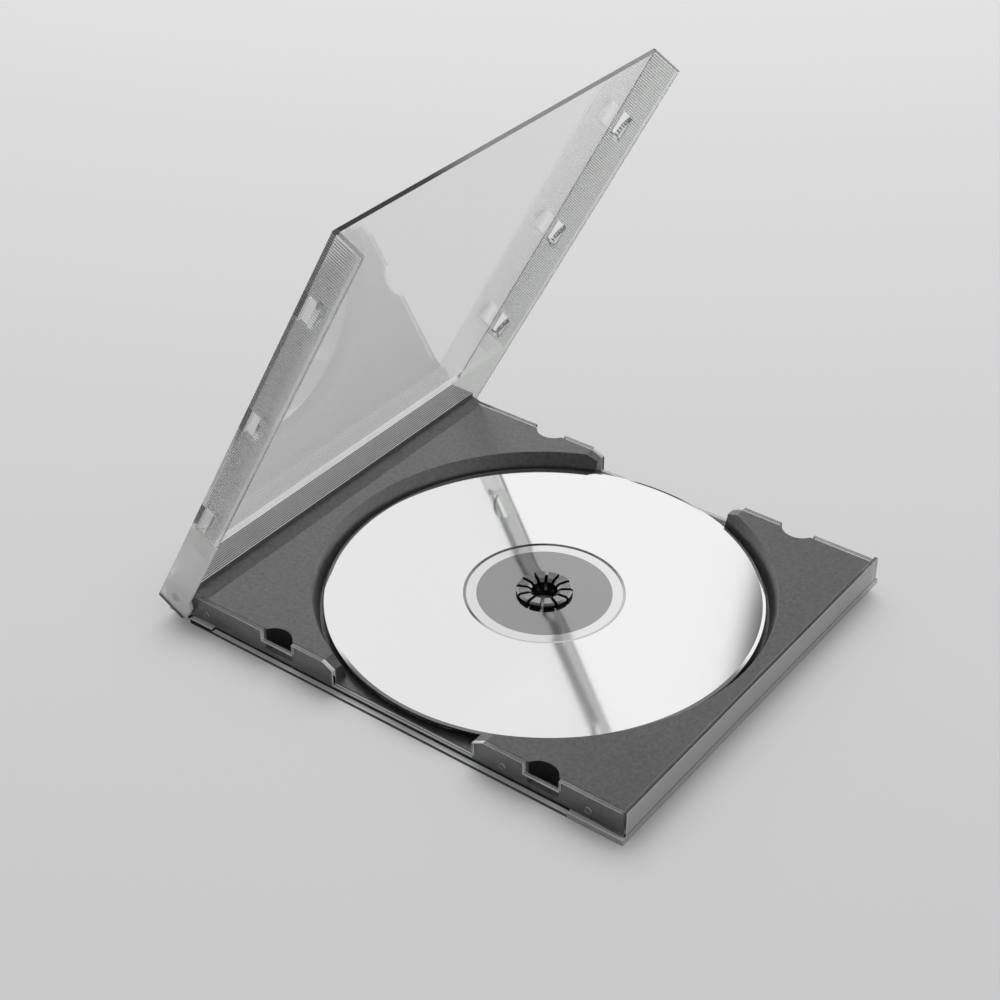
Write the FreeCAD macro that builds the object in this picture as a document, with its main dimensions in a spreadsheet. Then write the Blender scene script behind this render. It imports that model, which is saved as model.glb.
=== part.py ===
import FreeCAD, Part
import math
import os
import Sketcher

os.makedirs("parts", exist_ok=True)
doc = FreeCAD.newDocument("jewel_case")

# Every size in millimetres. X runs from the hinge to the opening side, Y along the hinge, Z up from
# the underside of the back cover. Heights of the front cover are those of the closed case.
sheet = doc.addObject("Spreadsheet::Sheet", "sizes")
rows = [
    ("case_length", 149.0),
    ("case_depth", 126.5),
    ("case_height", 11.0),
    ("lid_angle", 61.8),
    ("pivot_back", 3.9),
    ("pivot_height", 6.3),
    ("pin_diameter", 3.0),
    ("pin_clearance", 0.06),
    ("panel_thickness", 1.2),
    ("panel_setback", 10.5),
    ("rail_thickness", 1.1),
    ("rail_depth", 9.1),
    ("rail_clearance", 0.3),
    ("table_clearance", 0.1),
    ("arm_corner", 0.4),
    ("ear_front", 1.3),
    ("ear_flare", 1.9),
    ("tab_radius", 4.2),
    ("tab_drop", 4.3),
    ("tab_thickness", 1.2),
    ("window_margin", 0.7),
    ("rib_pitch", 0.78),
    ("rib_depth", 0.18),
    ("rib_start", 27.0),
    ("rib_stop", 0.9),
    ("floor_thickness", 1.1),
    ("wall_thickness", 1.25),
    ("wall_height", 8.8),
    ("spine_thickness", 1.2),
    ("spine_height", 9.55),
    ("arm_room", 9.2),
    ("ledge_rise", 0.75),
    ("ledge_open", 16.0),
    ("ledge_hinge", 8.0),
    ("nub_diameter", 1.8),
    ("nub_height", 0.18),
    ("nub_hinge", 25.0),
    ("nub_inner", 11.5),
    ("nub_outer", 14.0),
    ("gap_width", 44.8),
    ("gap_chamfer", 3.5),
    ("gap_shoulder", 7.0),
    ("gap_sill", 2.4),
    ("notch_first", 41.7),
    ("notch_second", 43.2),
    ("notch_width", 10.4),
    ("notch_sill", 5.4),
    ("notch_reach", 4.1),
    ("tray_clearance", 0.2),
    ("tray_skin", 1.2),
    ("deck_height", 8.6),
    ("well_floor", 2.4),
    ("well_clearance", 0.9),
    ("well_draft", 2.0),
    ("strip_width", 8.0),
    ("strip_height", 10.9),
    ("strip_ribs", 11.0),
    ("strip_rib_depth", 0.45),
    ("strip_step", 1.4),
    ("strip_apron", 4.2),
    ("strip_clearance", 0.1),
    ("disc_centre", 6.5),
    ("disc_diameter", 120.0),
    ("disc_thickness", 1.2),
    ("disc_top", 4.88),
    ("hole_diameter", 15.0),
    ("ring_groove", 43.4),
    ("groove_width", 0.8),
    ("groove_depth", 0.15),
    ("seat_diameter", 33.0),
    ("seat_slope", 1.0),
    ("shank_clearance", 0.25),
    ("lip_overlap", 0.25),
    ("lip_clearance", 0.15),
    ("lip_slope", 0.3),
    ("hub_moat", 0.6),
    ("hub_bore", 3.6),
    ("hub_rise", 1.5),
    ("finger_count", 12.0),
    ("finger_slot", 0.9),
]
for row, (name, size) in enumerate(rows, start=1):
    sheet.set("A%d" % row, name)
    sheet.set("B%d" % row, str(size))
    sheet.setAlias("B%d" % row, name)
doc.recompute()


def value(expression):
    """The number that an expression of the sheet's names comes to."""
    return float(sheet.evalExpression(expression))


def linked(expression):
    """The same expression as another object writes it, each name taken from the sheet."""
    for name, _ in sorted(rows, key=lambda item: -len(item[0])):
        expression = expression.replace(name, "<%d>" % names[name])
    for name, index in names.items():
        expression = expression.replace("<%d>" % index, "sizes." + name)
    return expression


names = {name: index for index, (name, _) in enumerate(rows)}


def new_sketch(body, name, role, lift=None, shift=None):
    """An empty sketch on one of the body's own planes, lifted along the normal and shifted along X."""
    sketch = body.newObject("Sketcher::SketchObject", name)
    support = next(item for item in body.Origin.OriginFeatures if item.Role == role)
    sketch.AttachmentSupport = (support, [""])
    sketch.MapMode = "FlatFace"
    if lift:
        sketch.setExpression("AttachmentOffset.Base.z", linked(lift))
    if shift:
        sketch.setExpression("AttachmentOffset.Base.x", linked(shift))
    return sketch


def dimension(sketch, kind, *where):
    """One driving size of a sketch, tied to the sheet."""
    *points, expression = where
    index = sketch.addConstraint(Sketcher.Constraint(kind, *points, value(expression)))
    sketch.setExpression("Constraints[%d]" % index, linked(expression))


def add_polygon(sketch, corners):
    """A closed outline whose corners each have their two distances from the sketch's origin."""
    first = sketch.GeometryCount
    count = len(corners)
    points = [FreeCAD.Vector(value(across), value(along), 0) for across, along in corners]
    lines = [Part.LineSegment(points[i], points[(i + 1) % count]) for i in range(count)]
    sketch.addGeometry(lines, False)
    joins = [Sketcher.Constraint("Coincident", first + i, 2, first + (i + 1) % count, 1) for i in range(count)]
    sketch.addConstraint(joins)
    for i, (across, along) in enumerate(corners):
        dimension(sketch, "DistanceX", -1, 1, first + i, 1, across)
        dimension(sketch, "DistanceY", -1, 1, first + i, 1, along)


def add_circle(sketch, across, along, radius):
    """A circle placed by its centre."""
    centre = FreeCAD.Vector(value(across), value(along), 0)
    index = sketch.addGeometry(Part.Circle(centre, FreeCAD.Vector(0, 0, 1), value(radius)), False)
    dimension(sketch, "Radius", index, radius)
    dimension(sketch, "DistanceX", -1, 1, index, 3, across)
    dimension(sketch, "DistanceY", -1, 1, index, 3, along)


def add_half_round(sketch, across, along, radius):
    """A half circle closed by its diameter, bulging along the sketch's own Y."""
    centre = FreeCAD.Vector(value(across), value(along), 0)
    circle = Part.Circle(centre, FreeCAD.Vector(0, 0, 1), value(radius))
    arc = sketch.addGeometry(Part.ArcOfCircle(circle, 0, math.pi), False)
    reach = FreeCAD.Vector(value(radius), 0, 0)
    line = sketch.addGeometry(Part.LineSegment(centre - reach, centre + reach), False)
    sketch.addConstraint(Sketcher.Constraint("Coincident", arc, 2, line, 1))
    sketch.addConstraint(Sketcher.Constraint("Coincident", arc, 1, line, 2))
    sketch.addConstraint(Sketcher.Constraint("Horizontal", line))
    sketch.addConstraint(Sketcher.Constraint("PointOnObject", arc, 3, line))
    dimension(sketch, "Radius", arc, radius)
    dimension(sketch, "DistanceX", -1, 1, arc, 3, across)
    dimension(sketch, "DistanceY", -1, 1, arc, 3, along)


def pad(body, name, sketch, length):
    """Material grown from a sketch along its normal."""
    feature = body.newObject("PartDesign::Pad", name)
    feature.Profile = sketch
    feature.setExpression("Length", linked(length))
    return feature


def mirror(body, name, features):
    """The same features on the far side of the case."""
    feature = body.newObject("PartDesign::Mirrored", name)
    support = next(item for item in body.Origin.OriginFeatures if item.Role == "XZ_Plane")
    feature.Originals = features
    feature.MirrorPlane = (support, [""])
    body.Tip = feature
    return feature


# Places that more than one piece shares.
half_length = "case_length / 2"
half_depth = "case_depth / 2"
pivot_x = "pivot_back - case_length / 2"
rail_inside = "case_depth / 2 - rail_thickness"
wall_outside = "case_depth / 2 - rail_thickness - rail_clearance"
wall_inside = "case_depth / 2 - rail_thickness - rail_clearance - wall_thickness"
rail_edge = "case_height - rail_depth"
notch_places = ("disc_centre - notch_first", "disc_centre + notch_second")
notch_half = "notch_width / 2"
gap_half = "gap_width / 2"

# Back cover: one clear moulding with a floor, two end spines, two inset side walls and the hinge holes.
back_cover = doc.addObject("PartDesign::Body", "back_cover")
floor_sketch = new_sketch(back_cover, "floor_outline", "XY_Plane")
add_polygon(floor_sketch, [
    ("arm_room - case_length / 2", "-(case_depth / 2)"),
    (half_length, "-(case_depth / 2)"),
    (half_length, half_depth),
    ("arm_room - case_length / 2", half_depth),
    ("arm_room - case_length / 2", wall_outside),
    ("-(case_length / 2)", wall_outside),
    ("-(case_length / 2)", "-(%s)" % wall_outside),
    ("arm_room - case_length / 2", "-(%s)" % wall_outside),
])
floor = pad(back_cover, "floor", floor_sketch, "floor_thickness")

# The side wall steps down at the two finger notches and opens in the middle where the disc well breaks out.
wall_sketch = new_sketch(back_cover, "wall_outline", "XZ_Plane", wall_inside)
wall_corners = [
    ("-(case_length / 2)", "floor_thickness / 2"),
    (half_length, "floor_thickness / 2"),
    (half_length, "wall_height"),
    ("%s + %s" % (notch_places[1], notch_half), "wall_height"),
    ("%s + %s" % (notch_places[1], notch_half), "notch_sill"),
    ("%s - %s" % (notch_places[1], notch_half), "notch_sill"),
    ("%s - %s" % (notch_places[1], notch_half), "wall_height"),
    ("disc_centre + %s + gap_chamfer" % gap_half, "wall_height"),
    ("disc_centre + %s" % gap_half, "gap_shoulder"),
    ("disc_centre + %s" % gap_half, "gap_sill"),
    ("disc_centre - %s" % gap_half, "gap_sill"),
    ("disc_centre - %s" % gap_half, "gap_shoulder"),
    ("disc_centre - %s - gap_chamfer" % gap_half, "wall_height"),
    ("%s + %s" % (notch_places[0], notch_half), "wall_height"),
    ("%s + %s" % (notch_places[0], notch_half), "notch_sill"),
    ("%s - %s" % (notch_places[0], notch_half), "notch_sill"),
    ("%s - %s" % (notch_places[0], notch_half), "wall_height"),
    ("-(case_length / 2)", "wall_height"),
]
add_polygon(wall_sketch, wall_corners)
side_wall = pad(back_cover, "side_wall", wall_sketch, "wall_thickness")

# Two short blocks on the ledge carry the rail of the closed front cover.
block_sketch = new_sketch(back_cover, "ledge_blocks", "XY_Plane", "floor_thickness / 2")
for start, end in (
    ("arm_room - case_length / 2", "arm_room + ledge_hinge - case_length / 2"),
    ("case_length / 2 - ledge_open", half_length),
):
    add_polygon(block_sketch, [
        (start, "-(case_depth / 2)"),
        (end, "-(case_depth / 2)"),
        (end, "-(%s)" % wall_inside),
        (start, "-(%s)" % wall_inside),
    ])
ledge = pad(back_cover, "ledge", block_sketch, "floor_thickness / 2 + ledge_rise")

# Three low round nubs on each wall centre the rail.
nub_sketch = new_sketch(back_cover, "nub_circles", "XZ_Plane", "%s + wall_thickness / 2" % wall_inside)
for place in (
    "%s - nub_hinge" % notch_places[0],
    "%s - nub_inner" % notch_places[1],
    "%s + nub_outer" % notch_places[1],
):
    add_circle(nub_sketch, place, "wall_height / 2", "nub_diameter / 2")
nubs = pad(back_cover, "nubs", nub_sketch, "wall_thickness / 2 + nub_height")
far_side = mirror(back_cover, "far_side", [side_wall, ledge, nubs])

spine_sketch = new_sketch(back_cover, "spine_outline", "XY_Plane", "floor_thickness / 2")
for outside, inside in (
    ("-(case_length / 2)", "spine_thickness - case_length / 2"),
    (half_length, "case_length / 2 - spine_thickness"),
):
    add_polygon(spine_sketch, [
        (outside, "-(%s)" % wall_outside),
        (inside, "-(%s)" % wall_outside),
        (inside, wall_outside),
        (outside, wall_outside),
    ])
spines = pad(back_cover, "spines", spine_sketch, "spine_height - floor_thickness / 2")

pin_hole_sketch = new_sketch(back_cover, "pin_hole_circle", "XZ_Plane")
add_circle(pin_hole_sketch, pivot_x, "pivot_height", "pin_diameter / 2 + pin_clearance")
pin_holes = back_cover.newObject("PartDesign::Pocket", "pin_holes")
pin_holes.Profile = pin_hole_sketch
pin_holes.Type = "ThroughAll"
pin_holes.Midplane = True
doc.recompute()

# Front cover: one clear moulding with a panel, two rails that run on into the hinge arms, six half-round
# tabs that hold a booklet, each under its own window in the rail, and two inward hinge pins.
front_cover = doc.addObject("PartDesign::Body", "front_cover")
panel_sketch = new_sketch(front_cover, "panel_outline", "XY_Plane", "case_height - panel_thickness")
add_polygon(panel_sketch, [
    ("panel_setback - case_length / 2", "-(case_depth / 2)"),
    (half_length, "-(case_depth / 2)"),
    (half_length, half_depth),
    ("panel_setback - case_length / 2", half_depth),
])
panel = pad(front_cover, "panel", panel_sketch, "panel_thickness")

# The arm's end is rounded about the pivot, so that it swings clear of the table.
swing_radius = "(pivot_height - table_clearance)"
ear_rim = []
for degrees in (45.0, 53.0, 61.0, 69.3):
    across = math.cos(math.radians(degrees))
    down = math.sin(math.radians(degrees))
    ear_rim.append(("%s - %s * %.4f" % (pivot_x, swing_radius, across),
                    "pivot_height - %s * %.4f" % (swing_radius, down)))
arm_end = ear_rim[0][0]
ear_edge = ear_rim[-1][1]
rail_sketch = new_sketch(front_cover, "rail_outline", "XZ_Plane", rail_inside)
add_polygon(rail_sketch, ear_rim + [
    ("%s + ear_front" % pivot_x, ear_edge),
    ("%s + ear_front + ear_flare" % pivot_x, rail_edge),
    (half_length, rail_edge),
    (half_length, "case_height"),
    ("%s + arm_corner" % arm_end, "case_height"),
    (arm_end, "case_height - arm_corner"),
])
rail = pad(front_cover, "rail", rail_sketch, "rail_thickness")

pin_sketch = new_sketch(front_cover, "pin_circle", "XZ_Plane", wall_inside)
add_circle(pin_sketch, pivot_x, "pivot_height", "pin_diameter / 2")
pin = pad(front_cover, "pin", pin_sketch, "wall_thickness + rail_clearance + rail_thickness / 2")

tab_sketch = new_sketch(front_cover, "tab_outline", "XY_Plane", "case_height - tab_drop - tab_thickness")
for place in (notch_places[0], "disc_centre", notch_places[1]):
    add_half_round(tab_sketch, place, "rail_thickness / 2 - case_depth / 2", "tab_radius")
tabs = pad(front_cover, "tabs", tab_sketch, "tab_thickness")
far_rail = mirror(front_cover, "far_rail", [rail, pin, tabs])

window_sketch = new_sketch(front_cover, "window_outline", "XZ_Plane")
for place in (notch_places[0], "disc_centre", notch_places[1]):
    add_polygon(window_sketch, [
        ("%s - tab_radius" % place, "case_height - tab_drop"),
        ("%s + tab_radius" % place, "case_height - tab_drop"),
        ("%s + tab_radius" % place, "case_height - panel_thickness - window_margin"),
        ("%s - tab_radius" % place, "case_height - panel_thickness - window_margin"),
    ])
windows = front_cover.newObject("PartDesign::Pocket", "windows")
windows.Profile = window_sketch
windows.Type = "ThroughAll"
windows.Midplane = True

# Fine grip ribs run across the outside of both rails and stop short of the rail's free edge.
rib_sketch = new_sketch(front_cover, "rib_groove", "XY_Plane", "%s + rib_stop" % rail_edge)
for side in ("", "-"):
    add_polygon(rib_sketch, [
        ("rib_start - rib_pitch / 3 - case_length / 2", "%s(case_depth / 2 + rib_depth / 3)" % side),
        ("rib_start + rib_pitch / 3 - case_length / 2", "%s(case_depth / 2 + rib_depth / 3)" % side),
        ("rib_start - case_length / 2", "%s(case_depth / 2 - rib_depth)" % side),
    ])
rib_cut = front_cover.newObject("PartDesign::Pocket", "rib_cut")
rib_cut.Profile = rib_sketch
rib_cut.setExpression("Length", linked("rail_depth"))
rib_cut.Reversed = True
front_cover.Tip = rib_cut
ribs = front_cover.newObject("PartDesign::LinearPattern", "ribs")
ribs.Originals = [rib_cut]
ribs.Direction = (rib_sketch, ["H_Axis"])
rib_total = int((value("case_length") - value("rib_start")) / value("rib_pitch") - 0.5) + 1
ribs.Length = (rib_total - 1) * value("rib_pitch")
ribs.Occurrences = rib_total
front_cover.Tip = ribs
pivot = FreeCAD.Vector(value(pivot_x), 0, value("pivot_height"))
opening = FreeCAD.Rotation(FreeCAD.Vector(0, 1, 0), -value("lid_angle"))
front_cover.Placement = FreeCAD.Placement(FreeCAD.Vector(0, 0, 0), opening, pivot)
doc.recompute()


def box(name, low, high):
    """A block between two corners."""
    item = doc.addObject("Part::Box", name)
    for side, axis, start, end in zip(("Length", "Width", "Height"), "xyz", low, high):
        item.setExpression(side, linked("(%s) - (%s)" % (end, start)))
        item.setExpression("Placement.Base." + axis, linked(start))
    return item


def cylinder(name, centre, bottom, top, radius):
    """An upright cylinder between two heights."""
    item = doc.addObject("Part::Cylinder", name)
    item.setExpression("Radius", linked(radius))
    item.setExpression("Height", linked("(%s) - (%s)" % (top, bottom)))
    for axis, place in zip("xyz", (*centre, bottom)):
        item.setExpression("Placement.Base." + axis, linked(place))
    return item


def cut(name, base, tool):
    """One shape less another."""
    item = doc.addObject("Part::Cut", name)
    item.Base = base
    item.Tool = tool
    return item


def join(name, shapes):
    """Several shapes as one."""
    item = doc.addObject("Part::MultiFuse", name)
    item.Shapes = shapes
    return item


# Disc tray: one dark thin-walled moulding that fills the back cover, with the disc well, four finger
# notches, the ribbed strip beside the hinge and the sprung hub that grips the disc.
tray_end = "case_length / 2 - spine_thickness - tray_clearance"
tray_side = "%s - tray_clearance" % wall_inside
tray_block = box("tray_block", ("-(%s)" % tray_end, "-(%s)" % tray_side, "floor_thickness"),
                 (tray_end, tray_side, "deck_height"))

hollow_box = box("hollow_box", ("tray_skin - (%s)" % tray_end, "tray_skin - (%s)" % tray_side, "0"),
                 ("%s - tray_skin" % tray_end, "%s - tray_skin" % tray_side, "deck_height - tray_skin"))
well_foot = "disc_diameter / 2 + well_clearance"
well_jacket = cylinder("well_jacket", ("disc_centre", "0"), "-1", "deck_height",
                       "%s + well_draft + tray_skin" % well_foot)
notch_centre = "%s + notch_width / 2 - notch_reach" % wall_outside
notch_jackets = []
notch_tools = []
for index, place in enumerate(notch_places):
    for side in ("", "-"):
        middle = (place, "%s(%s)" % (side, notch_centre))
        label = "%d_%s" % (index + 1, "near" if side else "far")
        notch_jackets.append(cylinder("notch_jacket_" + label, middle, "-1", "deck_height",
                                      "notch_width / 2 + tray_skin"))
        notch_tools.append(cylinder("notch_tool_" + label, middle, "well_floor", "deck_height + 1",
                                    "notch_width / 2"))
gap_jackets = [
    box("gap_jacket_hinge", ("disc_centre - %s - gap_chamfer - tray_skin" % gap_half, "-(%s)" % tray_side, "-1"),
        ("disc_centre - %s" % gap_half, tray_side, "deck_height")),
    box("gap_jacket_open", ("disc_centre + %s" % gap_half, "-(%s)" % tray_side, "-1"),
        ("disc_centre + %s + gap_chamfer + tray_skin" % gap_half, tray_side, "deck_height")),
]
solid_zone = join("solid_zone", [well_jacket] + notch_jackets + gap_jackets)
hollow = cut("hollow", hollow_box, solid_zone)

well = doc.addObject("Part::Cone", "well")
well.setExpression("Radius1", linked(well_foot))
well.setExpression("Radius2", linked("%s + well_draft" % well_foot))
well.setExpression("Height", linked("deck_height - well_floor"))
well.setExpression("Placement.Base.x", linked("disc_centre"))
well.setExpression("Placement.Base.z", linked("well_floor"))

# The well breaks out through both long sides between the shoulders of the side walls.
gap_body = doc.addObject("PartDesign::Body", "gap_body")
gap_sketch = new_sketch(gap_body, "gap_outline", "XZ_Plane", "-(case_depth)")
add_polygon(gap_sketch, [
    ("disc_centre - %s" % gap_half, "well_floor"),
    ("disc_centre + %s" % gap_half, "well_floor"),
    ("disc_centre + %s" % gap_half, "gap_shoulder"),
    ("disc_centre + %s + gap_chamfer" % gap_half, "deck_height"),
    ("disc_centre + %s + gap_chamfer" % gap_half, "deck_height + 1"),
    ("disc_centre - %s - gap_chamfer" % gap_half, "deck_height + 1"),
    ("disc_centre - %s - gap_chamfer" % gap_half, "deck_height"),
    ("disc_centre - %s" % gap_half, "gap_shoulder"),
])
gap_prism = pad(gap_body, "gap_prism", gap_sketch, "case_depth * 2")

# Ribbed strip: its comb profile runs the full depth and overhangs the side walls at both ends. In front
# of it a shallow apron slopes down to the deck.
strip_back = "spine_thickness + tray_clearance - case_length / 2"
strip_front = "%s + strip_width" % strip_back
apron_top = "strip_height - strip_step"
overhang = "wall_height + strip_clearance"
apron_share = "strip_apron * (%s - (%s)) / (%s - deck_height)" % (apron_top, overhang, apron_top)
strip_body = doc.addObject("PartDesign::Body", "strip_body")
strip_sketch = new_sketch(strip_body, "strip_profile", "XZ_Plane", "-(%s)" % wall_outside)
strip_total = int(value("strip_ribs"))
strip_corners = [(strip_back, overhang), ("%s + %s" % (strip_front, apron_share), overhang), (strip_front, apron_top)]
for rib in range(strip_total, 0, -1):
    for share, drop in ((0.0, ""), (-0.42, ""), (-0.57, " - strip_rib_depth"), (-0.85, " - strip_rib_depth")):
        place = "%s + strip_width * %.4f" % (strip_back, (rib + share) / strip_total)
        strip_corners.append((place, "strip_height" + drop))
strip_corners.append((strip_back, "strip_height"))
add_polygon(strip_sketch, strip_corners)
strip = pad(strip_body, "strip", strip_sketch, "2 * (%s)" % wall_outside)

foot_body = doc.addObject("PartDesign::Body", "foot_body")
foot_sketch = new_sketch(foot_body, "foot_profile", "XZ_Plane", "-(%s)" % tray_side)
add_polygon(foot_sketch, [
    (strip_back, "deck_height - tray_skin"),
    ("%s + strip_apron" % strip_front, "deck_height - tray_skin"),
    ("%s + strip_apron" % strip_front, "deck_height"),
    (strip_front, apron_top),
    (strip_back, apron_top),
])
strip_foot = pad(foot_body, "strip_foot", foot_sketch, "2 * (%s)" % tray_side)

# Sprung hub: a raised ring seats the disc and a ring of hooked fingers passes through its hole.
hub_body = doc.addObject("PartDesign::Body", "hub_body")
hub_sketch = new_sketch(hub_body, "hub_profile", "XZ_Plane", None, "disc_centre")
hub_shank = "hole_diameter / 2 - shank_clearance"
hub_lip = "hole_diameter / 2 + lip_overlap"
seat_top = "disc_top - disc_thickness"
add_polygon(hub_sketch, [
    ("hub_bore", "floor_thickness"),
    ("seat_diameter / 2 + seat_slope", "floor_thickness"),
    ("seat_diameter / 2 + seat_slope", "well_floor"),
    ("seat_diameter / 2", seat_top),
    ("%s + hub_moat" % hub_lip, seat_top),
    ("%s + hub_moat" % hub_lip, "well_floor"),
    (hub_shank, "well_floor"),
    (hub_shank, "disc_top + lip_clearance"),
    (hub_lip, "disc_top + lip_clearance + lip_slope"),
    ("%s - hub_rise * 0.03" % hub_lip, "disc_top + hub_rise * 0.7"),
    ("%s - hub_rise * 0.4" % hub_lip, "disc_top + hub_rise"),
    ("hub_bore + hub_rise * 0.6", "disc_top + hub_rise * 0.85"),
    ("hub_bore", "disc_top + hub_rise * 0.4"),
])
hub_turn = hub_body.newObject("PartDesign::Revolution", "hub_turn")
hub_turn.Profile = hub_sketch
hub_turn.ReferenceAxis = (hub_sketch, ["V_Axis"])
hub_turn.Angle = 360
doc.recompute()

slot_sketch = new_sketch(hub_body, "finger_slot_outline", "XY_Plane", "well_floor + lip_slope", "disc_centre")
add_polygon(slot_sketch, [
    ("hub_bore / 2", "-(finger_slot / 2)"),
    ("%s + hub_moat / 2" % hub_lip, "-(finger_slot / 2)"),
    ("%s + hub_moat / 2" % hub_lip, "finger_slot / 2"),
    ("hub_bore / 2", "finger_slot / 2"),
])
slot_cut = hub_body.newObject("PartDesign::Pocket", "slot_cut")
slot_cut.Profile = slot_sketch
slot_cut.setExpression("Length", linked("disc_top + hub_rise"))
slot_cut.Reversed = True
hub_body.Tip = slot_cut
fingers = hub_body.newObject("PartDesign::PolarPattern", "fingers")
fingers.Originals = [slot_cut]
fingers.Axis = (slot_sketch, ["N_Axis"])
fingers.Angle = 360
fingers.Occurrences = int(value("finger_count"))
hub_body.Tip = fingers
bore = cylinder("bore", ("disc_centre", "0"), "0", "disc_top", "hub_bore")

emptied = join("emptied", [hollow, well, gap_body, bore] + notch_tools)
tray_shell = cut("tray_shell", tray_block, emptied)
disc_tray = join("disc_tray", [tray_shell, foot_body, strip_body, hub_body])
disc_tray.Refine = True

# Disc: one clear moulding with a stacking groove around its hub zone, shallow outside and steep inside.
disc = doc.addObject("PartDesign::Body", "disc")
disc_sketch = new_sketch(disc, "disc_profile", "XZ_Plane", None, "disc_centre")
add_polygon(disc_sketch, [
    ("hole_diameter / 2", "disc_top - disc_thickness"),
    ("disc_diameter / 2", "disc_top - disc_thickness"),
    ("disc_diameter / 2", "disc_top"),
    ("ring_groove / 2 + groove_width / 2", "disc_top"),
    ("ring_groove / 2 - groove_width * 0.4", "disc_top - groove_depth"),
    ("ring_groove / 2 - groove_width / 2", "disc_top"),
    ("hole_diameter / 2", "disc_top"),
])
disc_turn = disc.newObject("PartDesign::Revolution", "disc_turn")
disc_turn.Profile = disc_sketch
disc_turn.ReferenceAxis = (disc_sketch, ["V_Axis"])
disc_turn.Angle = 360
doc.recompute()

for item in doc.Objects:
    if "Invalid" in item.State or "Error" in item.State:
        raise RuntimeError("%s is %s" % (item.Name, item.State))

for item in (back_cover, front_cover, disc_tray, disc):
    shape = item.Shape
    if shape.isNull() or not shape.isValid() or len(shape.Solids) != 1:
        raise RuntimeError("%s has a bad shape with %d solids" % (item.Name, len(shape.Solids)))
    shape.exportStep("parts/%s.step" % item.Name)
    print("%s %.0f mm3 %d faces" % (item.Name, shape.Volume, len(shape.Faces)))
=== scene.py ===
import math
import bmesh
import bpy
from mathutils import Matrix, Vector


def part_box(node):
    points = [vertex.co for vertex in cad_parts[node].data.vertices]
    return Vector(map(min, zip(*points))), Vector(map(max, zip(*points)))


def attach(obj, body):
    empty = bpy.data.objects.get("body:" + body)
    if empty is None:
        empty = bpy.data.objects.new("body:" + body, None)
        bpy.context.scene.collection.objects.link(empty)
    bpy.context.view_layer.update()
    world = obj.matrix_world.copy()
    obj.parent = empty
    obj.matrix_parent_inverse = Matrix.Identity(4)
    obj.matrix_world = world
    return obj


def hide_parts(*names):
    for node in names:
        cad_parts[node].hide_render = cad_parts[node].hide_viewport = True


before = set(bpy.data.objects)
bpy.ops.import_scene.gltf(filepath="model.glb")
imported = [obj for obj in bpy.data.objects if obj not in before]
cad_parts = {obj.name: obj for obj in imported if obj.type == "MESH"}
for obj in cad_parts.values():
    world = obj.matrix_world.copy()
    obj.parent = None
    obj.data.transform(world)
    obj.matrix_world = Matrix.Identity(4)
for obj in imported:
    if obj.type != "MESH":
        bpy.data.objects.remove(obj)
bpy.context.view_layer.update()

# Back cover: the clear lower half of the case, injection moulded in one piece from polystyrene.
# Its two end spines and inset side walls stand on a thin floor that lies on the table.
mm = 0.001
square_mm = mm * mm


def linear(code):
    """The linear colour of an sRGB hex value."""
    parts = [int(code[i:i + 2], 16) / 255 for i in (1, 3, 5)]
    return [*(p / 12.92 if p <= 0.04045 else ((p + 0.055) / 1.055) ** 2.4 for p in parts), 1.0]


def add(tree, kind, inputs=None, **settings):
    """A new node with its settings; an input is a value, or the socket that feeds it."""
    made = tree.nodes.new(kind)
    for name, setting in settings.items():
        setattr(made, name, setting)
    for name, given in (inputs or {}).items():
        if isinstance(given, bpy.types.NodeSocket):
            tree.links.new(given, made.inputs[name])
        else:
            made.inputs[name].default_value = given
    return made


def new_material(name):
    """An empty material and its node tree."""
    made = bpy.data.materials.new(name)
    made.use_nodes = True
    made.node_tree.nodes.clear()
    return made, made.node_tree


def clear_finish(name, colour, smoothest, roughest, ior, clearness, cloud_mm, detail):
    """A clear plastic whose gloss varies slowly, as the melt flowed into the mould."""
    made, tree = new_material(name)
    place = add(tree, "ShaderNodeTexCoord").outputs["Object"]
    cloud = add(tree, "ShaderNodeTexNoise", {"Vector": place, "Scale": 1000 / cloud_mm, "Detail": detail})
    blur = add(tree, "ShaderNodeMapRange", {
        "Value": cloud.outputs["Fac"], "To Min": smoothest, "To Max": roughest,
    })
    shader = add(tree, "ShaderNodeBsdfPrincipled", {
        "Base Color": linear(colour),
        "Roughness": blur.outputs["Result"],
        "IOR": ior,
        "Transmission Weight": clearness,
    })
    add(tree, "ShaderNodeOutputMaterial", {"Surface": shader.outputs["BSDF"]})
    return made


def moulded_form(node, edge_round, shortest, longest, least_angle):
    """A merged copy of a solid, its outer edges of these lengths rounded as they leave the mould."""
    form = bmesh.new()
    form.from_mesh(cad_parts[node].data)
    bmesh.ops.remove_doubles(form, verts=form.verts, dist=1e-6)
    bmesh.ops.dissolve_limit(form, angle_limit=math.radians(0.5), verts=form.verts, edges=form.edges)
    outer = [
        edge for edge in form.edges
        if edge.is_convex and shortest < edge.calc_length() < longest
        and edge.calc_face_angle(0) > math.radians(least_angle)
    ]
    bmesh.ops.bevel(form, geom=outer, offset=edge_round, affect="EDGES", segments=3, profile=0.5, material=-1,
                    clamp_overlap=False)
    form.faces.ensure_lookup_table()
    return form


def part_faces(form, faces, point, way):
    """A straight line across these faces alone, where one finish gives way to another."""
    around = dict.fromkeys(part for face in faces for part in (*face.verts, *face.edges))
    bmesh.ops.bisect_plane(form, geom=faces + list(around), dist=1e-6, plane_co=point, plane_no=way)


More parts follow.
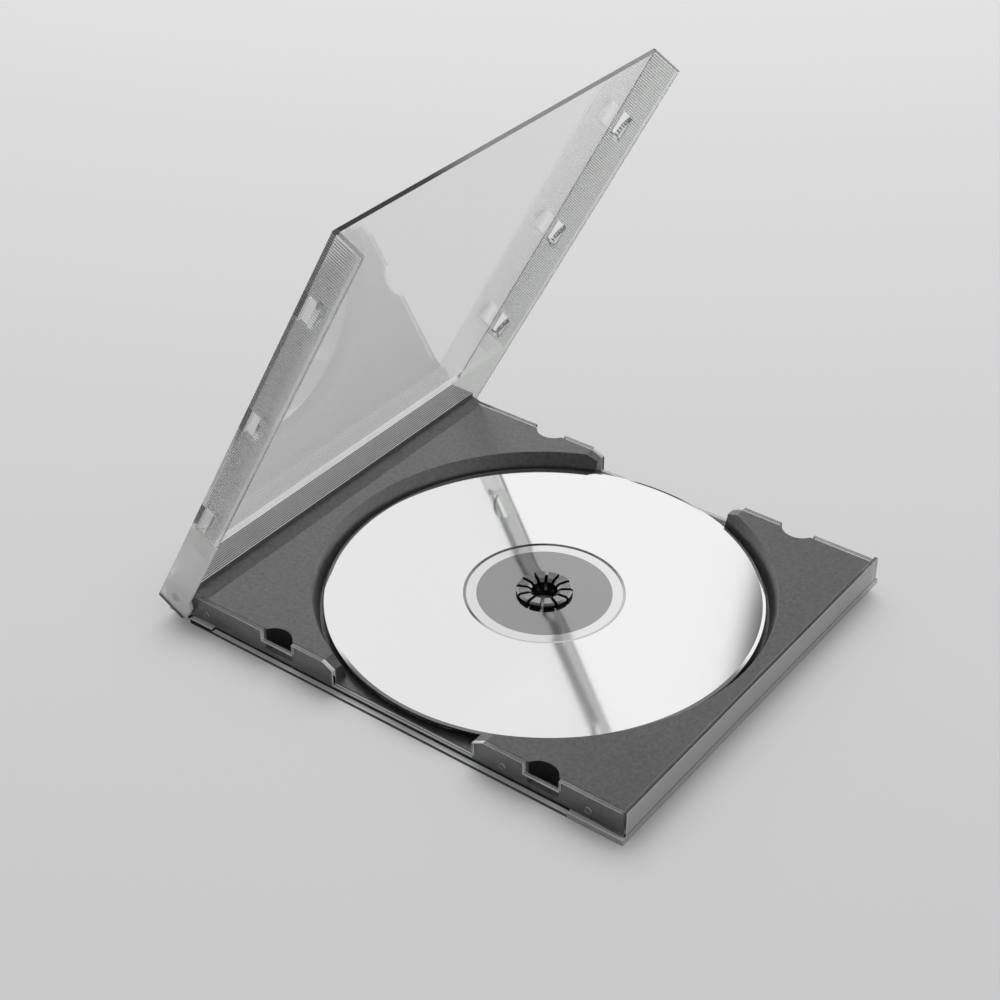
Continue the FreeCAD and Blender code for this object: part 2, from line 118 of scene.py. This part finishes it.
def finish_piece(name, form, finishes, body, crease):
    """The finished piece in place of its solid, smooth where its faces meet below the crease angle."""
    mesh = bpy.data.meshes.new(name)
    form.to_mesh(mesh)
    form.free()
    for finish in finishes:
        mesh.materials.append(finish)
    mesh.shade_smooth()
    mesh.set_sharp_from_angle(angle=math.radians(crease))
    piece = bpy.data.objects.new(name, mesh)
    bpy.context.scene.collection.objects.link(piece)
    level = piece.modifiers.new("flat_faces", "WEIGHTED_NORMAL")
    level.keep_sharp = True
    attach(piece, body)
    return piece


def let_light_through(piece):
    """A clear piece casts no shadow of its own, and diffuse light passes it."""
    piece.visible_shadow = False
    piece.visible_diffuse = False


# Moulded general-purpose polystyrene: clear and glossy, with a little haze that greys what is behind it
# and a slow ripple from the flow into the mould.
clear_polystyrene, tree = new_material("clear_polystyrene")
place = add(tree, "ShaderNodeTexCoord").outputs["Object"]
ripple_mm = 9.0
ripple = add(tree, "ShaderNodeTexNoise", {"Vector": place, "Scale": 1000 / ripple_mm, "Detail": 1.0})
dent = add(tree, "ShaderNodeBump", {"Height": ripple.outputs["Fac"], "Strength": 0.02, "Distance": 0.0002})
shader = add(tree, "ShaderNodeBsdfPrincipled", {
    "Base Color": linear("#f2f5f2"),
    "Roughness": 0.04,
    "IOR": 1.27,
    "Transmission Weight": 1.0,
    "Normal": dent.outputs["Normal"],
})
add(tree, "ShaderNodeOutputMaterial", {"Surface": shader.outputs["BSDF"]})

# The outside of the spines comes matt from the mould, with a painted pale grey that stands in for the light
# coming through the clear spines.
matt_and_painted_light_edge = clear_finish("matt_clear_polystyrene_with_painted_light", "#d2d4d2", 0.15, 0.3, ior=1.5, clearness=0.46,
                         cloud_mm=ripple_mm, detail=2.0)

# The tops of the walls are matt too, and painted grey, standing in for the look of the tray's dark side behind
# them.
painted_grey_wall_top = clear_finish("clear_polystyrene_painted_grey", "#8c8e8c", 0.15, 0.3, ior=1.5, clearness=0.62,
                        cloud_mm=ripple_mm, detail=2.0)

# The spines' narrow tops are painted dark, standing in for the dark tray they look down into.
painted_dark_edge = clear_finish("clear_polystyrene_painted_dark", "#5e605e", 0.08, 0.16, ior=1.5, clearness=0.7,
                        cloud_mm=ripple_mm, detail=2.0)

# The rounded outer edges and the rims of the nubs carry a painted highlight: a pale mottled colour standing in
# for the bright lines where they gather the light.
painted_highlight_edge, tree = new_material("clear_polystyrene_painted_highlight")
place = add(tree, "ShaderNodeTexCoord").outputs["Object"]
ripple = add(tree, "ShaderNodeTexNoise", {"Vector": place, "Scale": 1000 / ripple_mm, "Detail": 2.0})
shade = add(tree, "ShaderNodeMix", {
    "Factor": ripple.outputs["Fac"], "A": linear("#c8cac8"), "B": linear("#fbfcfb"),
}, data_type="RGBA")
shader = add(tree, "ShaderNodeBsdfPrincipled", {
    "Base Color": shade.outputs["Result"],
    "Roughness": 0.15,
    "IOR": 1.59,
    "Transmission Weight": 0.2,
})
add(tree, "ShaderNodeOutputMaterial", {"Surface": shader.outputs["BSDF"]})

any_length = 1.0
facing = 0.9
skin = 0.1 * mm
back_high = Vector(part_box("back_cover")[1])
back_form = moulded_form("back_cover", edge_round=0.2 * mm, shortest=2.5 * mm, longest=any_length,
                         least_angle=50)

# A dark line is painted across the spines a little above the floor, standing in for the tray's foot showing
# through them.
painted_line_low, painted_line_high = 2.3 * mm, 2.65 * mm
spine_area = 500 * square_mm
for height in (painted_line_low, painted_line_high):
    spines = [
        face for face in back_form.faces
        if abs(face.normal.x) > facing and face.calc_area() > spine_area
    ]
    part_faces(back_form, spines, (0, 0, height), (0, 0, 1))

# The blocks at the opening end of the ledges are matt down to the table, and painted the same pale grey,
# standing in for the lit floor seen through them.
block_start = back_high.x - 16 * mm
fronts = [
    face for face in back_form.faces
    if abs(face.normal.y) > facing and abs(face.calc_center_median().y) > back_high.y - skin
]
part_faces(back_form, fronts, (block_start, 0, 0), (1, 0, 0))

back_finishes = [clear_polystyrene, matt_and_painted_light_edge, painted_dark_edge, painted_highlight_edge, painted_grey_wall_top]
wall_drop = 1.0 * mm
nub_facet = 0.2 * square_mm
squarest = 0.97
for face in back_form.faces:
    middle = face.calc_center_median()
    at_end = abs(middle.x) > back_high.x - skin
    at_front = abs(middle.y) > back_high.y - skin
    on_painted_foot_line = all(painted_line_low - 1e-6 < corner.co.z < painted_line_high + 1e-6 for corner in face.verts)
    finish = clear_polystyrene
    # Painted dark on the line across the spines and on the spines' tops.
    if on_painted_foot_line and at_end:
        finish = painted_dark_edge
    elif face.normal.z > facing and middle.z > back_high.z - skin:
        finish = painted_dark_edge
    # Painted grey on the walls' tops.
    elif face.normal.z > facing and middle.z > back_high.z - wall_drop:
        finish = painted_grey_wall_top
    # Painted pale grey on the spines' outsides and the blocks' fronts, standing in for light coming through.
    elif abs(face.normal.x) > facing and at_end:
        finish = matt_and_painted_light_edge
    elif abs(face.normal.y) > facing and at_front and middle.x > block_start:
        finish = matt_and_painted_light_edge
    # Painted highlight on the rounded edges and the nubs' small facets.
    elif max(abs(part) for part in face.normal) < squarest or face.calc_area() < nub_facet:
        finish = painted_highlight_edge
    face.material_index = back_finishes.index(finish)
back_cover = finish_piece("clear_back_cover", back_form, back_finishes, "base", crease=40)
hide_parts("back_cover")
let_light_through(back_cover)

# Disc tray: a thin dark moulding of filled polystyrene, with the disc well, the ribbed strip beside the
# hinge and the sprung hub.
# It drops into the back cover and stands on its floor, between the walls and the spines.

# Filled polystyrene from a spark-eroded mould: near black, satin, with a fine even grain and faint mottling.
satin_tray, tree = new_material("satin_black_polystyrene")
place = add(tree, "ShaderNodeTexCoord").outputs["Object"]
grain_mm, mottle_mm = 0.45, 1.1
grain = add(tree, "ShaderNodeTexNoise", {"Vector": place, "Scale": 1000 / grain_mm, "Detail": 3.0})
dent = add(tree, "ShaderNodeBump", {"Height": grain.outputs["Fac"], "Strength": 0.4, "Distance": 0.0001})
mottle = add(tree, "ShaderNodeTexNoise", {"Vector": place, "Scale": 1000 / mottle_mm, "Detail": 2.0})
shade = add(tree, "ShaderNodeMix", {
    "Factor": mottle.outputs["Fac"], "A": linear("#1c1c1c"), "B": linear("#626262"),
}, data_type="RGBA")
shader = add(tree, "ShaderNodeBsdfPrincipled", {
    "Base Color": shade.outputs["Result"],
    "Roughness": 0.3,
    "IOR": 1.57,
    "Specular IOR Level": 1.0,
    "Normal": dent.outputs["Normal"],
})
add(tree, "ShaderNodeOutputMaterial", {"Surface": shader.outputs["BSDF"]})

# The hub's fingers come from a polished part of the mould and shine.
polished_tray, tree = new_material("polished_black_polystyrene")
place = add(tree, "ShaderNodeTexCoord").outputs["Object"]
streak_mm = 6.0
streak = add(tree, "ShaderNodeTexNoise", {"Vector": place, "Scale": 1000 / streak_mm, "Detail": 2.0})
gloss = add(tree, "ShaderNodeMapRange", {"Value": streak.outputs["Fac"], "To Min": 0.18, "To Max": 0.28})
shader = add(tree, "ShaderNodeBsdfPrincipled", {
    "Base Color": linear("#464646"),
    "Roughness": gloss.outputs["Result"],
    "IOR": 1.57,
    "Specular IOR Level": 1.0,
    "Coat Weight": 1.0,
    "Coat Roughness": 0.2,
    "Coat IOR": 2.8,
})
add(tree, "ShaderNodeOutputMaterial", {"Surface": shader.outputs["BSDF"]})

# The tops of the strip's ribs carry a painted highlight: a pale grey that stands in for the light they catch.
painted_highlight_ribs, tree = new_material("black_polystyrene_painted_highlight")
place = add(tree, "ShaderNodeTexCoord").outputs["Object"]
streak = add(tree, "ShaderNodeTexNoise", {"Vector": place, "Scale": 1000 / streak_mm, "Detail": 3.0})
shade = add(tree, "ShaderNodeMix", {
    "Factor": streak.outputs["Fac"], "A": linear("#9c9c9c"), "B": linear("#b8b8b8"),
}, data_type="RGBA")
shader = add(tree, "ShaderNodeBsdfPrincipled", {
    "Base Color": shade.outputs["Result"],
    "Roughness": 0.25,
    "IOR": 1.57,
    "Specular IOR Level": 1.0,
    "Coat Weight": 1.0,
    "Coat Roughness": 0.15,
    "Coat IOR": 1.8,
})
add(tree, "ShaderNodeOutputMaterial", {"Surface": shader.outputs["BSDF"]})

# The skirts are drawn straight from the mould, with faint upright drag lines, and painted a deeper black than
# the rest, which stands in for the shade on the tray's sides.
drawn_and_shaded_tray, tree = new_material("drawn_black_polystyrene_with_painted_shade")
place = add(tree, "ShaderNodeTexCoord").outputs["Object"]
drag = add(tree, "ShaderNodeMapping", {"Vector": place, "Scale": (1.0, 1.0, 0.15)})
drag_mm = 0.8
lines = add(tree, "ShaderNodeTexNoise", {
    "Vector": drag.outputs["Vector"], "Scale": 1000 / drag_mm, "Detail": 2.0,
})
gloss = add(tree, "ShaderNodeMapRange", {"Value": lines.outputs["Fac"], "To Min": 0.45, "To Max": 0.6})
shader = add(tree, "ShaderNodeBsdfPrincipled", {
    "Base Color": linear("#161616"),
    "Roughness": gloss.outputs["Result"],
    "IOR": 1.5,
    "Specular IOR Level": 0.2,
})
add(tree, "ShaderNodeOutputMaterial", {"Surface": shader.outputs["BSDF"]})

disc_low, disc_high = (Vector(corner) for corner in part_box("disc"))
disc_centre = (disc_low + disc_high) / 2
finger_reach = 8.2 * mm
strip_edge, rib_height = -65 * mm, 10.8 * mm
skirt_height = 9.5 * mm
seat_reach, well_reach = 9 * mm, 66 * mm
tray_finishes = [satin_tray, polished_tray, drawn_and_shaded_tray, painted_highlight_ribs]
tray_form = moulded_form("disc_tray", edge_round=0.1 * mm, shortest=1.0 * mm, longest=100 * mm, least_angle=50)
for face in tray_form.faces:
    middle = face.calc_center_median()
    from_hub = math.hypot(middle.x - disc_centre.x, middle.y - disc_centre.y)
    upright = abs(face.normal.z) < 0.3
    finish = satin_tray
    if from_hub < finger_reach and middle.z > disc_high.z and face.normal.z > 0.2:
        finish = polished_tray
    # Painted highlight on the tops of the strip's ribs.
    elif middle.x < strip_edge and middle.z > rib_height and face.normal.z > facing:
        finish = painted_highlight_ribs
    # Painted shade: the deeper black on the upright skirts.
    elif upright and middle.z < skirt_height and not seat_reach < from_hub < well_reach:
        finish = drawn_and_shaded_tray
    face.material_index = tray_finishes.index(finish)
disc_tray = finish_piece("dark_disc_tray", tray_form, tray_finishes, "base", crease=11)
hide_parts("disc_tray")

# Disc: a clear polycarbonate moulding with a mirror layer of sputtered metal under lacquer, which stops
# short of the rim and thins over the hub zone, inside the stacking groove.
# It drops over the hub's sprung fingers.


def plated(name, colour, smoothness):
    """A mirror layer whose fine concentric lines follow the track that it covers."""
    made, tree = new_material(name)
    place = add(tree, "ShaderNodeTexCoord").outputs["Object"]
    centred = add(tree, "ShaderNodeMapping", {
        "Vector": place, "Location": -Vector((disc_centre.x, disc_centre.y, disc_high.z)),
    })
    radius = add(tree, "ShaderNodeVectorMath", {0: centred.outputs["Vector"]}, operation="LENGTH")
    band_mm = 2.5
    bands = add(tree, "ShaderNodeTexNoise", {
        "W": radius.outputs["Value"], "Scale": 1000 / band_mm, "Detail": 2.0,
    }, noise_dimensions="1D")
    sheen = add(tree, "ShaderNodeMapRange", {
        "Value": bands.outputs["Fac"], "To Min": smoothness * 0.8, "To Max": smoothness * 1.2,
    })
    shader = add(tree, "ShaderNodeBsdfPrincipled", {
        "Base Color": linear(colour),
        "Metallic": 1.0,
        "Roughness": sheen.outputs["Result"],
    })
    add(tree, "ShaderNodeOutputMaterial", {"Surface": shader.outputs["BSDF"]})
    return made


mirror_layer = plated("sputtered_silver_layer", "#f4f4f4", 0.06)
thin_layer = plated("thin_silver_hub_layer", "#a0a0a0", 0.06)
ring_layer = plated("sputtered_silver_ring", "#e8e8e8", 0.08)
groove_layer = plated("sputtered_silver_groove", "#c4c4c4", 0.1)

# Moulded polycarbonate: water-clear, so that the bare rim shows the dark tray below.
clear_polycarbonate = clear_finish("clear_polycarbonate", "#f8f8f8", 0.01, 0.03, ior=1.585, clearness=1.0,
                                   cloud_mm=ripple_mm, detail=1.0)

# Radius and height of the disc's section: out along the underside, up the rim, and back over the groove.
outline = [
    (7.5, 0.0), (59.75, 0.0), (60.0, 0.25), (60.0, 0.85), (59.75, 1.0), (58.9, 1.2),
    (22.1, 1.2), (21.3, 1.05), (18.5, 1.05), (12.0, 1.2), (7.65, 1.2), (7.5, 1.05),
]
disc_form = bmesh.new()
corners = [
    disc_form.verts.new((disc_centre.x + radius * mm, disc_centre.y, disc_low.z + height * mm))
    for radius, height in outline
]
profile = [disc_form.edges.new((corners[i - 1], corners[i])) for i in range(len(corners))]
bmesh.ops.spin(disc_form, geom=corners + profile, cent=(disc_centre.x, disc_centre.y, 0), axis=(0, 0, 1),
               angle=math.tau, steps=180, use_merge=True, use_duplicate=False)
bmesh.ops.recalc_face_normals(disc_form, faces=disc_form.faces)

# The mirror layer ends at the foot of the sloping rim. Each layer after it starts where the last one ends,
# towards the hub.
plated_reach = 59.75 * mm
layer_starts = (61 * mm, 22.1 * mm, 21.3 * mm, 18.5 * mm)
disc_finishes = [clear_polycarbonate, mirror_layer, groove_layer, ring_layer, thin_layer]
for face in disc_form.faces:
    middle = face.calc_center_median()
    reach = math.hypot(middle.x - disc_centre.x, middle.y - disc_centre.y)
    if face.normal.z > 0.5 and reach < plated_reach:
        face.material_index = sum(reach < start for start in layer_starts)
disc = finish_piece("plain_silver_disc", disc_form, disc_finishes, "base", crease=8)
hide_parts("disc")

# Front cover: the clear upper half, one polystyrene moulding with two ribbed rails that end in the hinge
# arms. It snaps into the back cover's side walls by two short pins.

# The broad panel is polished on both sides, so it hardly shows but for the mirror image of the tray.
polished_panel = clear_finish("polished_clear_polystyrene", "#f5f5f5", 0.0, 0.02, ior=1.27, clearness=1.0,
                              cloud_mm=ripple_mm, detail=1.0)

# The panel's foot is frosted in a narrow band, which doesn't mirror the dark tray and so shows pale.
frosted_foot = clear_finish("frosted_clear_polystyrene", "#fefefe", 0.35, 0.5, ior=1.05, clearness=1.0,
                            cloud_mm=ripple_mm, detail=2.0)

# The hinge arms keep the mould's satin finish: they scatter the light to an even grey.
satin_arm = clear_finish("satin_clear_polystyrene", "#f2f4f2", 0.22, 0.34, ior=1.59, clearness=0.5,
                         cloud_mm=14.0, detail=2.0)

# The rails are clearer. The flanks of their ribs carry a painted shade, darker towards the opening end,
# standing in for the dark lines where they turn the light away.
clear_rail = clear_finish("ribbed_clear_polystyrene", "#f0f2f0", 0.05, 0.1, ior=1.59, clearness=0.9,
                          cloud_mm=ripple_mm, detail=1.0)

rail_way = Vector((0.4695, 0.0, 0.8829))
painted_shade_flank, tree = new_material("rib_flanks_painted_shade")
place = add(tree, "ShaderNodeTexCoord").outputs["Object"]
along = add(tree, "ShaderNodeVectorMath", {0: place, 1: rail_way}, operation="DOT_PRODUCT")
painted_fade = add(tree, "ShaderNodeMapRange", {"Value": along.outputs["Value"], "From Min": 0.0, "From Max": 0.09})
shade = add(tree, "ShaderNodeMix", {
    "Factor": painted_fade.outputs["Result"], "A": linear("#d8dad8"), "B": linear("#ced0ce"),
}, data_type="RGBA")
shader = add(tree, "ShaderNodeBsdfPrincipled", {
    "Base Color": shade.outputs["Result"],
    "Roughness": 0.2,
    "IOR": 1.59,
    "Transmission Weight": 0.55,
})
add(tree, "ShaderNodeOutputMaterial", {"Surface": shader.outputs["BSDF"]})

# The edge of the panel and the ends of the arms are painted dark towards the near side and pale elsewhere,
# standing in for the dark of the tray that they take up.
painted_dark_cut_edge, tree = new_material("edge_of_clear_polystyrene_painted_dark")
place = add(tree, "ShaderNodeTexCoord").outputs["Object"]
across = add(tree, "ShaderNodeSeparateXYZ", {0: place})
painted_fade = add(tree, "ShaderNodeMapRange", {"Value": across.outputs["Y"], "From Min": -0.03, "From Max": -0.015})
shade = add(tree, "ShaderNodeMix", {
    "Factor": painted_fade.outputs["Result"], "A": linear("#3c3e3c"), "B": linear("#a4a6a4"),
}, data_type="RGBA")
shader = add(tree, "ShaderNodeBsdfPrincipled", {
    "Base Color": shade.outputs["Result"],
    "Roughness": 0.2,
    "IOR": 1.59,
    "Transmission Weight": 0.3,
})
add(tree, "ShaderNodeOutputMaterial", {"Surface": shader.outputs["BSDF"]})

# The finishes part along the inside of the rails, at both ends of the arms and at the top of the frost.
rail_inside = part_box("front_cover")[1][1] - 1.3 * mm
pivot_along = Vector((-70.6 * mm, 0, 6.3 * mm)).dot(rail_way)
arm_end, arm_foot = pivot_along + 29.5 * mm, pivot_along - 3.2 * mm
top_edge = arm_end + 100 * mm
frost_height = 4.2 * mm
panel_area, edge_area = 4000 * square_mm, 100 * square_mm
cover_form = moulded_form("front_cover", edge_round=0.12 * mm, shortest=8.0 * mm, longest=any_length,
                          least_angle=60)
for side in (rail_inside, -rail_inside):
    part_faces(cover_form, cover_form.faces[:], (0, side, 0), (0, 1, 0))
for place_along in (arm_end, arm_foot):
    rails = [face for face in cover_form.faces if abs(face.calc_center_median().y) > rail_inside]
    part_faces(cover_form, rails, rail_way * place_along, rail_way)
panel = [
    face for face in cover_form.faces
    if abs(face.calc_center_median().y) < rail_inside and face.calc_area() > panel_area
]
frost_top = min(corner.co.dot(rail_way) for face in panel for corner in face.verts) + frost_height
part_faces(cover_form, panel, rail_way * frost_top, rail_way)

cover_finishes = [
    clear_polystyrene, polished_panel, satin_arm, clear_rail, painted_shade_flank, painted_dark_cut_edge, painted_highlight_edge, frosted_foot,
]
for face in cover_form.faces:
    middle = face.calc_center_median()
    along_rail = face.normal.dot(rail_way)
    along_cover = middle.dot(rail_way)
    broad = abs(along_rail) < 0.1
    finish = clear_polystyrene
    if abs(middle.y) < rail_inside:
        if broad and face.calc_area() > panel_area:
            finish = polished_panel
        elif broad and along_cover < frost_top and face.calc_area() > edge_area:
            finish = frosted_foot
        # Painted dark towards the near side on the panel's top edge.
        elif along_rail > facing and along_cover > top_edge:
            finish = painted_dark_cut_edge
        # Painted highlight on the panel's foot end.
        elif along_rail < -facing and face.calc_area() > edge_area:
            finish = painted_highlight_edge
    # Painted shade on the flanks of the ribs.
    elif 0.7 < abs(face.normal.y) < facing and along_cover > arm_end:
        finish = painted_shade_flank
    elif along_cover > arm_end or middle.y > 0:
        finish = clear_rail
    elif along_cover > arm_foot:
        finish = satin_arm
    # Painted dark on the end of the near arm.
    else:
        finish = painted_dark_cut_edge
    face.material_index = cover_finishes.index(finish)
front_cover = finish_piece("clear_front_cover", cover_form, cover_finishes, "cover", crease=25)
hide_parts("front_cover")
let_light_through(front_cover)

# The case lies on a pale grey sweep of matt card, a hair below its underside.
# A wide overhead softbox lights it from behind.
sweep_form = bmesh.new()
bmesh.ops.create_grid(sweep_form, x_segments=1, y_segments=1, size=3.0)
bmesh.ops.translate(sweep_form, verts=sweep_form.verts, vec=(0, 0, -0.0001))
sweep_mesh = bpy.data.meshes.new("sweep")
sweep_form.to_mesh(sweep_mesh)
sweep_form.free()
sweep = bpy.data.objects.new("sweep", sweep_mesh)
bpy.context.scene.collection.objects.link(sweep)
card, tree = new_material("matt_card")
place = add(tree, "ShaderNodeTexCoord").outputs["Object"]
fibre_mm = 1.5
fibres = add(tree, "ShaderNodeTexNoise", {"Vector": place, "Scale": 1000 / fibre_mm, "Detail": 2.0})
nap = add(tree, "ShaderNodeMapRange", {"Value": fibres.outputs["Fac"], "To Min": 0.85, "To Max": 0.95})
shader = add(tree, "ShaderNodeBsdfPrincipled", {
    "Base Color": linear("#d6d6d6"),
    "Roughness": nap.outputs["Result"],
    "Specular IOR Level": 0.1,
})
add(tree, "ShaderNodeOutputMaterial", {"Surface": shader.outputs["BSDF"]})
sweep_mesh.materials.append(card)

softbox = bpy.data.lights.new("softbox", "AREA")
softbox.shape = "RECTANGLE"
softbox.size = 1.6
softbox.size_y = 1.2
softbox.energy = 20.0
softbox_stand = bpy.data.objects.new("softbox", softbox)
softbox_stand.location = (-0.6, 0.9, 1.25)
softbox_stand.visible_glossy = False
softbox_stand.visible_transmission = False
aim = Vector((0, 0, 0.03)) - softbox_stand.location
softbox_stand.rotation_euler = aim.to_track_quat("-Z", "Y").to_euler()
bpy.context.scene.collection.objects.link(softbox_stand)

# The room is white all round: bright where it is seen or mirrored, softer where it only fills the shadows.
world = bpy.data.worlds.new("white_room")
bpy.context.scene.world = world
world.use_nodes = True
tree = world.node_tree
tree.nodes.clear()
ray = add(tree, "ShaderNodeLightPath")
mirrored = add(tree, "ShaderNodeMath", {
    0: ray.outputs["Is Camera Ray"], 1: ray.outputs["Is Glossy Ray"],
}, operation="MAXIMUM")
seen = add(tree, "ShaderNodeMath", {
    0: mirrored.outputs[0], 1: ray.outputs["Is Transmission Ray"],
}, operation="MAXIMUM")
look = add(tree, "ShaderNodeSeparateXYZ", {0: add(tree, "ShaderNodeTexCoord").outputs["Generated"]})
near_side = add(tree, "ShaderNodeMapRange", {
    "Value": look.outputs["Y"], "From Min": -0.8, "From Max": 0.0, "To Min": 0.25, "To Max": 1.0,
}, interpolation_type="SMOOTHSTEP")
ceiling = add(tree, "ShaderNodeMapRange", {
    "Value": look.outputs["Z"], "From Min": 0.665, "From Max": 0.735, "To Min": 0.97, "To Max": 0.2,
}, interpolation_type="SMOOTHSTEP")

# A dark upright stands between two bright walls at the back.
aside = add(tree, "ShaderNodeMath", {
    0: look.outputs["Z"], 1: -0.227, 2: look.outputs["X"],
}, operation="MULTIPLY_ADD")
left_edge = add(tree, "ShaderNodeMapRange", {
    "Value": aside.outputs[0], "From Min": -0.511, "From Max": -0.497, "To Min": 1.0, "To Max": 0.08,
}, interpolation_type="SMOOTHSTEP")
right_edge = add(tree, "ShaderNodeMapRange", {
    "Value": aside.outputs[0], "From Min": -0.45, "From Max": -0.41, "To Min": 0.0, "To Max": 1.0,
})
dark_upright = add(tree, "ShaderNodeMath", {
    0: left_edge.outputs["Result"], 1: right_edge.outputs["Result"],
}, operation="MAXIMUM")
fill_level = add(tree, "ShaderNodeMath", {0: near_side.outputs["Result"], 1: 0.6}, operation="MULTIPLY")
shaded = add(tree, "ShaderNodeMath", {
    0: near_side.outputs["Result"], 1: dark_upright.outputs[0],
}, operation="MULTIPLY")
wall_level = add(tree, "ShaderNodeMath", {
    0: shaded.outputs[0], 1: ceiling.outputs["Result"],
}, operation="MULTIPLY")
fill = add(tree, "ShaderNodeBackground", {"Color": linear("#ffffff"), "Strength": fill_level.outputs[0]})
walls = add(tree, "ShaderNodeBackground", {"Color": linear("#ffffff"), "Strength": wall_level.outputs[0]})
both = add(tree, "ShaderNodeMixShader", {0: seen.outputs[0], 1: fill.outputs[0], 2: walls.outputs[0]})
add(tree, "ShaderNodeOutputWorld", {"Surface": both.outputs[0]})

# The camera stands over the opening side, a little to the near side, with a short telephoto lens.
bpy.context.scene.view_settings.view_transform = "Standard"
turn = math.radians(36.728)
tilt = math.radians(35.0898)
lens = bpy.data.cameras.new("camera")
lens.sensor_width = 36.0
lens.lens = 70.547
lens.clip_start = 0.01
camera = bpy.data.objects.new("camera", lens)
camera.location = (0.248449, -0.344408, 0.330866)
camera.rotation_euler = (math.pi / 2 - tilt, 0, turn)
bpy.context.scene.collection.objects.link(camera)
bpy.context.scene.camera = camera
